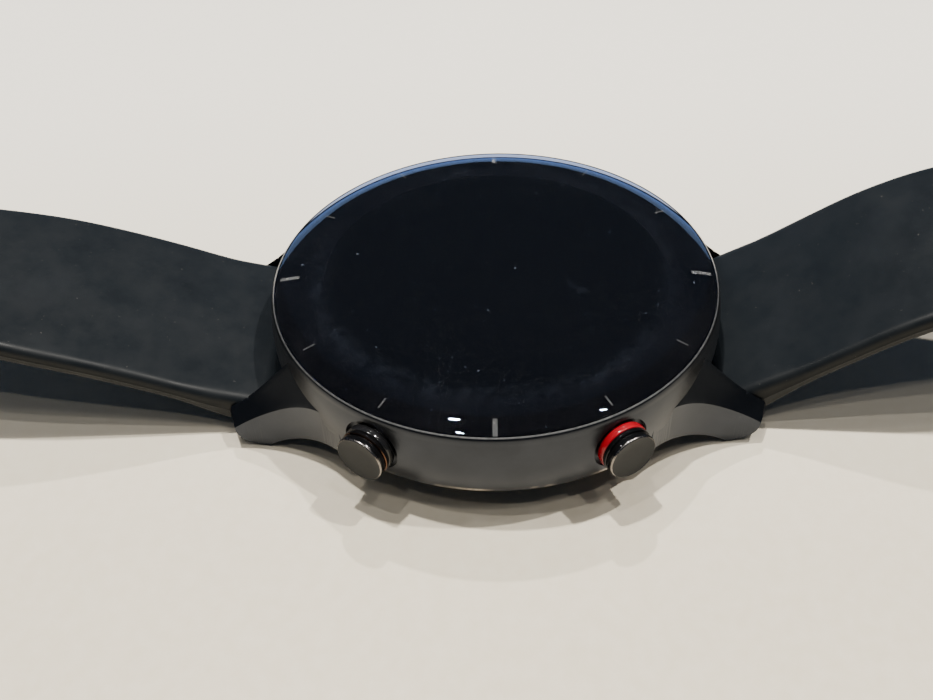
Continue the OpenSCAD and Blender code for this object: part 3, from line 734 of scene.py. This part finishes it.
# Each optical port behind the sensor window: X, Y and radius.
SENSOR_PORTS = ((0, 0, 1.9), (5.6, 0, 1.5), (-5.6, 0, 1.5), (0, 5.6, 1.5), (0, -5.6, 1.5))


def make_back():
    """The back cover with its two contact wells, and the domed sensor window with its ports."""
    outline = [(14.12, 2.45), (14.12, 1.45)] + arc_points(14.3, 1.45, 0.18, 180, 270, 4) + [
        (17.5, 1.42), (18.8, 1.62), (20.0, 1.98), (20.9, 2.45), (21.5, 2.95), (21.8, 3.3),
        (21.82, 3.45), (21.1, 3.45), (21.1, 3.3), (14.12, 2.45)]
    cover = lathe("back_shell", outline, [MATS["back"]], steps=256, smooth_deg=40)
    for side in (-1, 1):
        well = [(0, 0.5), (1.3, 0.5), (1.3, 1.44), (1.12, 1.6), (1.12, 4), (0, 4)]
        place = Matrix.Translation(Vector((side * CONTACT_AT[0], CONTACT_AT[1], 0)) * MM)
        boolean(cover, lathe("well", well, [], steps=48, matrix=place))
    tidy_mesh(cover)
    shade(cover, 30)
    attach(cover, "case")
    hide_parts("back_cover")
    outline = [(0, 0.0), (6, 0.0), (12.3, 0.0)] + arc_points(12.75, 1.3, 1.3, 270, 360, 12) + [
        (14.05, 2.3), (12, 2.3), (0, 2.3)]
    window = lathe("sensor_dome", outline, [MATS["sensor"]], steps=192, smooth_deg=40)
    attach(window, "case")
    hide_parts("sensor_window")
    for i, (x, y, r) in enumerate(SENSOR_PORTS):
        place = Matrix.Translation(Vector((x, y, 0)) * MM)
        outline = [(0, 0.06), (r, 0.06), (r, 0.002), (r - 0.06, -0.012), (0, -0.012)]
        port = lathe(f"sensor_port_{i}", outline, [MATS["port"]], steps=64, matrix=place)
        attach(port, "case")


# ---- buttons ----

# The stem with its clip groove and two seal grooves, then the hollow under the cap for the spring.
STEM = [(0, 19.4), (STEM_R, 19.4), (STEM_R, 19.55), (GROOVE_R, 19.55), (GROOVE_R, 19.8),
        (STEM_R, 19.8), (STEM_R, 20.9), (GROOVE_R, 20.9), (GROOVE_R, 21.25), (STEM_R, 21.25),
        (STEM_R, 21.6), (GROOVE_R, 21.6), (GROOVE_R, 21.95), (STEM_R, 21.95), (STEM_R, RING_IN),
        (1.05, RING_IN), (1.05, 23.95), (1.65, 23.95), (1.65, RING_IN)]


def make_button(name, side):
    """A pusher turned about its own axis: satin face, bright bevel, polished barrel."""
    place = radial_place(side * BUTTON_ANGLE, BUTTON_Z, 0)
    r, face = CAP_R, CAP_FACE
    barrel = [(r - 0.32, RING_IN), (r - 0.32, 23.72), (r - 0.02, 23.76), (r + 0.04, 23.84),
              (r + 0.04, face - 0.96)]
    groove = [(r - 0.02, face - 0.89), (r - 0.16, face - 0.87), (r - 0.16, face - 0.76),
              (r - 0.03, face - 0.74), (r, face - 0.68)]
    lip = [(r, face - 0.14), (r - 0.03, face - 0.06), (r - 0.10, face)]
    dish = [(r - 0.3, face - 0.02), (1.2, face - 0.05), (0, face - 0.055)]
    outline = STEM + barrel + groove + lip + dish
    line = len(STEM) + len(barrel) - 1
    top = len(STEM) + len(barrel) + len(groove)
    glow = "bronze" if side < 0 else "barrel"

    def pick(i):
        """The slot of a band: barrel, bevel, the line in the groove, or the face."""
        if i < top:
            return 2 if i in (line, line + 1) else 0
        return 1 if i < top + len(lip) - 1 else 3
    mats = [MATS["barrel"], MATS["bevel"], MATS[glow], MATS["cap"]]
    pusher = lathe(f"{name}_cap", outline, mats, pick=pick, steps=128, smooth_deg=40, matrix=place)
    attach(pusher, f"{name}_pusher")
    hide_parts(f"{name}_button")
    bore_r, low, high = r - 0.29, 22.97, 23.74
    profile = round_outline([(bore_r, low), (r + 0.08, low), (r + 0.1, 23.4), (r + 0.06, high),
                             (bore_r, high)], 0.12)
    tone, slot = ("red", "accent_red") if side > 0 else ("dark_ring", "accent_black")
    ring = lathe(f"{name}_ring", profile + [profile[0]], [MATS[tone]], steps=128, smooth_deg=40,
                 matrix=place)
    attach(ring, f"{name}_pusher")
    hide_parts(f"{name}_accent_ring")


# ---- strap ----

def path_length(arcs):
    return sum(length for length, turn in arcs)


def along(p, length, turn, t):
    """The place a share t of the way along an arc that starts at p."""
    y, z, h = p
    r = length / math.radians(turn)
    g = h + turn * t
    return (y + r * (math.sin(math.radians(g)) - math.sin(math.radians(h))),
            z - r * (math.cos(math.radians(g)) - math.cos(math.radians(h))), g)


def place_on(lift, arcs, s):
    """The place on a strap's middle line at s mm from its bar: (y, z, heading in degrees)."""
    p = (BAR_Y, BAR_Z, lift)
    for i, (length, turn) in enumerate(arcs):
        if s <= length or i == len(arcs) - 1:
            return along(p, length, turn, s / length)
        p = along(p, length, turn, 1)
        s -= length


def ease(u):
    """A smooth step from 0 to 1."""
    u = min(1.0, max(0.0, u))
    return u * u * (3 - 2 * u)


def half_thick(s):
    return (STRAP_THICK + (STRAP_THIN - STRAP_THICK) * ease(s / TAPER)) / 2


def half_width(y):
    return (STRAP_W + (STRAP_END_W - STRAP_W) * ease((y - 44) / 18)) / 2


# Where the strap's points lie, as shares of its half width and as angles round its two ends.
ACROSS = [0, 0.12, 0.25, 0.38, 0.5, 0.6, 0.7, 0.78, 0.84, 0.885, 0.915, 0.935, 0.95, 0.962,
          0.973, 0.983, 0.991, 0.9965, 1.0]
NOSE_ANGLES = (3, 12, 22, 34, 46, 58, 70, 80)
TIP_ANGLES = (5, 11, 17, 23, 29, 35, 41, 47, 53, 59, 64, 69, 73, 77, 80.5, 83.5, 86, 88, 89.4)
EYE_ANGLES = (8, 18, 28, 38, 48, 58, 68, 77, 84)
RUN_STEPS, EYE_STEPS = 150, 16


def edge_drop(d, r):
    """How far a rounded edge of radius r has dropped at d mm in from the edge."""
    return 0.0 if d >= r else r - math.sqrt(max(0.0, r * r - (r - d) ** 2))


def strap_mesh(name, lift, arcs, tip_round):
    """A strap half swept along its path: crowned top, rounded edges, a fine parting line."""
    total = path_length(arcs)
    nose = STRAP_THICK / 2 + 0.04
    stations = [(-nose * math.cos(math.radians(a)), "nose") for a in NOSE_ANGLES]
    last = total - (tip_round or EYE_LEN)
    stations += [(s * last / RUN_STEPS, "run") for s in range(RUN_STEPS + 1)]
    if tip_round:
        stations += [(last + tip_round * math.sin(math.radians(a)), "tip") for a in TIP_ANGLES]
    else:
        stations += [(last + EYE_LEN * i / EYE_STEPS, "eye") for i in range(1, EYE_STEPS + 1)]
        stations += [(total + EYE_R * math.sin(math.radians(a)), "round") for a in EYE_ANGLES]
    rings, ring_points = [], 0
    for s, kind in stations:
        y, z, h = place_on(lift, arcs, total if kind == "round" else max(s, 0.0))
        c, n = math.cos(math.radians(h)), math.sin(math.radians(h))
        if kind == "nose":
            y, z = y + s * c, z + s * n
            t = math.sqrt(nose ** 2 - s ** 2)
        elif kind == "round":
            y, z = y + (s - total) * c, z + (s - total) * n
            t = math.sqrt(max(0.0, EYE_R ** 2 - (s - total) ** 2))
        elif kind == "eye":
            t = half_thick(s) + (EYE_R - half_thick(s)) * ease((s - last) / (EYE_LEN - 0.5))
        else:
            t = half_thick(s)
        w = half_width(y)
        beyond = s - last
        if kind == "tip":
            w = w * math.sqrt(max(0.0, 1 - (beyond / tip_round) ** 2))
        ring = []
        for sign, r in ((1, min(0.95, 0.75 * t)), (-1, min(0.6, 0.6 * t))):
            for u in ACROSS:
                d = w * (1 - u)
                if kind == "tip":
                    d = min(d, tip_round - math.hypot(w * u, beyond))
                crown = (0.10 if sign > 0 else 0.0) * t * (w * u / 11.0) ** 2
                ring.append((w * u, sign * (t - edge_drop(max(d, 0.0), r) - crown)))
        top, low = ring[:len(ACROSS)], ring[len(ACROSS):]
        mid = (top[-1][1] + low[-1][1]) / 2
        lip = 0.035 if kind in ("run", "tip") and w > 2 else 0.0
        side_line = [(w, mid + 0.10), (w + lip, mid + 0.03), (w + lip, mid - 0.03), (w, mid - 0.10)]
        right = top + side_line + low[::-1]
        left = [(-x, v) for x, v in right[::-1]]
        loop = right + left[1:-1]
        rings.append([(x, y - v * n, z + v * c) for x, v in loop])
        ring_points = len(loop)
    verts = [p for ring in rings for p in ring]
    faces = []
    for i in range(len(rings) - 1):
        for k in range(ring_points):
            m = (k + 1) % ring_points
            faces.append((i * ring_points + k, i * ring_points + m,
                          (i + 1) * ring_points + m, (i + 1) * ring_points + k))
    faces.append(tuple(range(ring_points)))
    end = (len(rings) - 1) * ring_points
    faces.append(tuple(end + k for k in range(ring_points - 1, -1, -1)))
    return new_object(name, verts, faces, [MATS["strap"]], 50)


def flared_slot(lift, arcs, s, half_x, r, flare):
    """A cutter for a slot through the strap whose two mouths flare out in a soft lip."""
    y, z, h = place_on(lift, arcs, s)
    t = half_thick(s)
    levels = [(-t - 1, flare), (-t - 0.02, flare)]
    levels += [(-t + flare * math.sin(math.radians(a)), flare * (1 - math.cos(math.radians(90 - a))))
               for a in (15, 40, 65, 90)]
    levels += [(-v, o) for v, o in levels[::-1]]
    loop_n = 32
    verts = []
    for v, grow in levels:
        rr = r + grow
        for k in range(loop_n):
            a = 2 * math.pi * k / loop_n
            cx = half_x if math.cos(a) >= 0 else -half_x
            verts.append((cx + rr * math.cos(a), rr * math.sin(a), v))
    faces = [(i * loop_n + k, i * loop_n + (k + 1) % loop_n, (i + 1) * loop_n + (k + 1) % loop_n,
              (i + 1) * loop_n + k) for i in range(len(levels) - 1) for k in range(loop_n)]
    faces.append(tuple(range(loop_n))[::-1])
    top = (len(levels) - 1) * loop_n
    faces.append(tuple(top + k for k in range(loop_n)))
    cutter = new_object("slot", verts, faces, [])
    cutter.data.transform(Matrix.Translation(Vector((0, y, z)) * MM)
                          @ Matrix.Rotation(math.radians(h), 4, "X"))
    return cutter


def bar_pocket(obj):
    """The opening under the strap for the release pin's finger knob."""
    pocket = block("pocket", (4.6, BAR_Y - 0.9, BAR_Z - 4), (8.2, BAR_Y + 0.9, BAR_Z))
    bevel(pocket, 0.35, 3)
    boolean(obj, pocket)


def finish_strap(obj, name, body, node, flip):
    if flip:
        obj.data.transform(Matrix.Diagonal((1, -1, 1, 1)))
        obj.data.flip_normals()
    tidy_mesh(obj)
    shade(obj, 40)
    even_normals(obj)
    obj.name = name
    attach(obj, body)
    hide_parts(node)


def make_straps():
    long_half = strap_mesh("long_half", LONG_LIFT, LONG_ARCS, TIP_ROUND)
    for i in range(HOLE_COUNT):
        at = HOLE_FROM + i * HOLE_PITCH
        boolean(long_half, flared_slot(LONG_LIFT, LONG_ARCS, at, 0.8, 1.1, 0.3))
    bar_pocket(long_half)
    finish_strap(long_half, "long_half", "long_strap", "strap_long", True)
    short_half = strap_mesh("short_half", SHORT_LIFT, SHORT_ARCS, 0)
    y, z, h = place_on(SHORT_LIFT, SHORT_ARCS, path_length(SHORT_ARCS))
    notch = block("notch", (-1.6, -5, -4), (1.6, 5, 4))
    bevel(notch, 0.5, 4)
    notch.data.transform(Matrix.Translation(Vector((0, y, z)) * MM)
                         @ Matrix.Rotation(math.radians(h), 4, "X"))
    boolean(short_half, notch)
    bar_pocket(short_half)
    finish_strap(short_half, "short_half", "short_strap", "strap_short", False)


def rounded_box(half_x, half_y, r, step):
    """A rounded rectangle's points with the outward direction at each: (x, y, angle)."""
    points = []
    for sx, sy, start in ((1, 1, 0), (-1, 1, 90), (-1, -1, 180), (1, -1, 270)):
        for a in range(0, 91, step):
            g = math.radians(start + a)
            points.append((sx * (half_x - r) + r * math.cos(g), sy * (half_y - r) + r * math.sin(g), g))
    return points


def make_keeper(name, from_end, body, node):
    """A moulded loop round the strap: a rounded band following a rounded rectangle."""
    y, z, h = place_on(SHORT_LIFT, SHORT_ARCS, path_length(SHORT_ARCS) - from_end)
    ch, sh = math.cos(math.radians(h)), math.sin(math.radians(h))
    centre_v = -STRAP_THIN / 2 - KEEPER_PLAY + KEEPER_H / 2
    wall = KEEPER_WALL / 2
    loop = rounded_box(STRAP_END_W / 2 + 0.3 + wall, KEEPER_H / 2 + wall, 1.1, 10)
    section = rounded_box(KEEPER_LEN / 2, wall, 0.42, 15)
    dense = []
    for i, (x, v, g) in enumerate(loop):
        nx, nv, ng = loop[(i + 1) % len(loop)]
        parts = max(1, round(math.hypot(nx - x, nv - v) / 1.2))
        for k in range(parts):
            t = k / parts
            dense.append((x + (nx - x) * t, v + (nv - v) * t, g))
    verts, faces = [], []
    count = len(section)
    for x, v, g in dense:
        for l, o, _ in section:
            px, pv = x + o * math.cos(g), v + o * math.sin(g) + centre_v
            verts.append((px, y + l * ch - pv * sh, z + l * sh + pv * ch))
    for i in range(len(dense)):
        j = (i + 1) % len(dense)
        for k in range(count):
            m = (k + 1) % count
            faces.append((i * count + k, i * count + m, j * count + m, j * count + k))
    keeper = new_object(name, verts, faces, [MATS["strap"]], 50)
    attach(keeper, body)
    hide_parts(node)


def rounded_copy(node, name, body, width, mat):
    """The CAD piece again, with its edges rounded."""
    source = frame["nodes"][node]
    obj = bpy.data.objects.new(name, source.data.copy())
    obj.data.materials.clear()
    obj.data.materials.append(mat)
    bpy.context.scene.collection.objects.link(obj)
    bm = bmesh.new()
    bm.from_mesh(obj.data)
    bmesh.ops.remove_doubles(bm, verts=bm.verts, dist=0.002 * MM)
    bmesh.ops.dissolve_limit(bm, angle_limit=math.radians(0.6), verts=bm.verts, edges=bm.edges)
    bm.to_mesh(obj.data)
    bm.free()
    bevel(obj, width, 3, 30)
    shade(obj, 40)
    even_normals(obj)
    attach(obj, body)
    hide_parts(node)


# ---- pieces that keep their CAD shape, and the floor ----

SLOT_LOOK = {
    "back_plastic": "back", "sensor_glass": "sensor", "contact_gold": "gold", "seal_rubber": "seal",
    "display": "screen", "flex_film": "flex", "frame_plastic": "frame", "circuit_board": "board",
    "spring_steel": "steel", "battery_wrap": "battery", "led_clear": "led", "weight_metal": "weight",
    "button_metal": "barrel", "accent_red": "red", "accent_black": "dark_ring",
    "strap_rubber": "strap", "buckle_steel": "buckle", "case_metal": "case", "cover_glass": "glass",
}


def dress_cad():
    slots = {s["node"]: s["material_slot"] for s in frame["record"]["subparts"]}
    for node, obj in frame["nodes"].items():
        obj.data.materials.clear()
        obj.data.materials.append(MATS[SLOT_LOOK[slots[node]]])


def make_floor():
    """A table top three metres square."""
    size, step = 3000, 24
    verts = [(-size / 2 + size * i / step, -size / 2 + size * j / step, 0)
             for i in range(step + 1) for j in range(step + 1)]
    row = step + 1
    faces = [(i * row + j, (i + 1) * row + j, (i + 1) * row + j + 1, i * row + j + 1)
             for i in range(step) for j in range(step)]
    floor = new_object("floor", verts, faces, [MATS["floor"]])


make_camera()
make_lights()
make_materials()
make_floor()
dress_cad()
make_case()
make_glass()
make_marks()
make_back()
make_button("upper", 1)
make_button("lower", -1)
make_straps()
make_keeper("keeper_fixed", FIXED_KEEPER_AT, "short_strap", "fixed_keeper")
make_keeper("keeper_sliding", SLIDING_KEEPER_AT, "keeper_loop", "sliding_keeper")
rounded_copy("buckle_frame", "buckle_loop", "buckle", 0.35, MATS["buckle"])
rounded_copy("buckle_tongue", "tongue_prong", "tongue", 0.25, MATS["buckle"])
